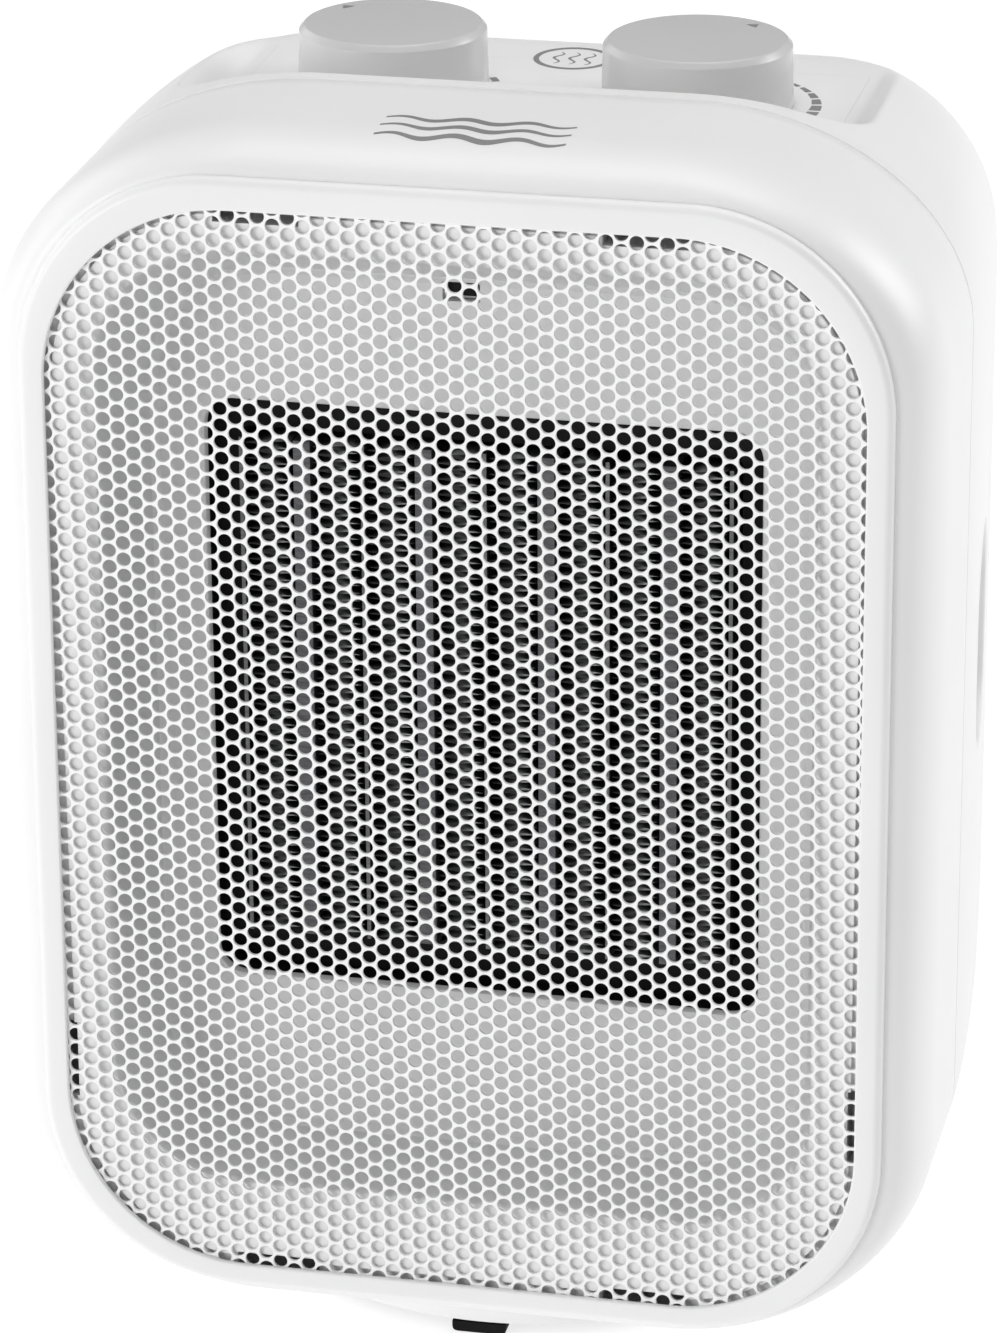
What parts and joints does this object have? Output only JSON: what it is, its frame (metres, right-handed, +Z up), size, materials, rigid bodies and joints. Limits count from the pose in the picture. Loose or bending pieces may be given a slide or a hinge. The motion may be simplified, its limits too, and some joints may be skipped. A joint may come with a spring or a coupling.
{
  "type": "ceramic space heater",
  "caption": "Small white desk heater: rounded upright casing with a perforated front outlet, two round knobs on a sloping-backed top panel, and a round swivel base.",
  "frame": {"origin": "bottom centre of the bounding box, on the floor at the axis of the swivel base", "axes": "+Z up; -Y out of the perforated front, the way the warm air leaves; +X to the right of somebody who looks at the front"},
  "size_m": [0.1656, 0.1466, 0.2292],
  "materials": {
    "casing_white": "satin white moulded casing",
    "control_grey": "smooth light grey knob plastic",
    "grille_white": "white powder-coated punched steel",
    "tray_white": "white heat-resistant moulding",
    "black_plastic": "black glass-filled plastic",
    "fin_aluminium": "bare folded aluminium",
    "ptc_case": "dull flat aluminium tube round the ceramic",
    "zinc_steel": "zinc-plated steel",
    "rubber_black": "black rubber",
    "terminal_ivory": "ivory terminal plastic"
  },
  "bodies": {
    "base": {"base_shell": "casing_white", "base_plate": "black_plastic", "foot_1": "rubber_black", "foot_2": "rubber_black", "foot_3": "rubber_black", "foot_4": "rubber_black", "tip_switch": "black_plastic", "retaining_ring": "zinc_steel", "retaining_screw_1": "zinc_steel", "retaining_screw_2": "zinc_steel", "retaining_screw_3": "zinc_steel"},
    "heater": {"front_shell": "casing_white", "rear_housing": "casing_white", "control_panel": "casing_white", "rear_grille": "casing_white", "grille_sheet": "grille_white", "inner_tray": "tray_white", "limit_sensor": "black_plastic", "heater_frame": "black_plastic", "thermal_cutoff": "zinc_steel", "fan_duct": "black_plastic", "motor_mount": "black_plastic", "fan_motor": "zinc_steel", "motor_screw_1": "zinc_steel", "motor_screw_2": "zinc_steel", "mode_switch": "black_plastic", "thermostat": "zinc_steel", "cord_gland": "rubber_black", "terminal_block": "terminal_ivory", "fin_plate_1": "fin_aluminium", "fin_plate_2": "fin_aluminium", "fin_plate_3": "fin_aluminium", "fin_plate_4": "fin_aluminium", "fin_plate_5": "fin_aluminium", "ptc_strip_1": "ptc_case", "ptc_strip_2": "ptc_case", "ptc_strip_3": "ptc_case", "ptc_strip_4": "ptc_case", "fin_pack_1": "fin_aluminium", "fin_pack_2": "fin_aluminium", "fin_pack_3": "fin_aluminium", "fin_pack_4": "fin_aluminium", "fin_pack_5": "fin_aluminium", "fin_pack_6": "fin_aluminium", "fin_pack_7": "fin_aluminium", "fin_pack_8": "fin_aluminium", "case_screw_1": "zinc_steel", "case_screw_2": "zinc_steel", "case_screw_3": "zinc_steel", "case_screw_4": "zinc_steel"},
    "mode_dial": {"mode_knob": "control_grey", "mode_shaft": "control_grey"},
    "thermostat_dial": {"thermostat_knob": "control_grey", "thermostat_shaft": "control_grey"},
    "fan": {"fan_impeller": "black_plastic", "fan_shaft": "zinc_steel"},
    "plunger": {"tip_plunger": "rubber_black"}
  },
  "joints": [
    {"name": "swivel", "type": "hinge", "parent": "base", "child": "heater", "pos_m": [0, 0, 0.0096], "axis": [0, 0, 1], "range_deg": [-35, 35]},
    {"name": "mode_turn", "type": "hinge", "parent": "heater", "child": "mode_dial", "pos_m": [-0.0277, 0.00475, 0.217], "axis": [0, 0, 1], "range_deg": [-90, 45]},
    {"name": "thermostat_turn", "type": "hinge", "parent": "heater", "child": "thermostat_dial", "pos_m": [0.0277, 0.00475, 0.217], "axis": [0, 0, 1], "range_deg": [-90, 180]},
    {"name": "fan_spin", "type": "hinge", "parent": "heater", "child": "fan", "pos_m": [0, 0.001, 0.1199], "axis": [0, 1, 0], "continuous": true},
    {"name": "plunger_travel", "type": "slide", "parent": "base", "child": "plunger", "axis": [0, 0, 1], "range_m": [-0.003, 0], "stiffness_N_per_m": 30, "springref_m": -0.003}
  ]
}
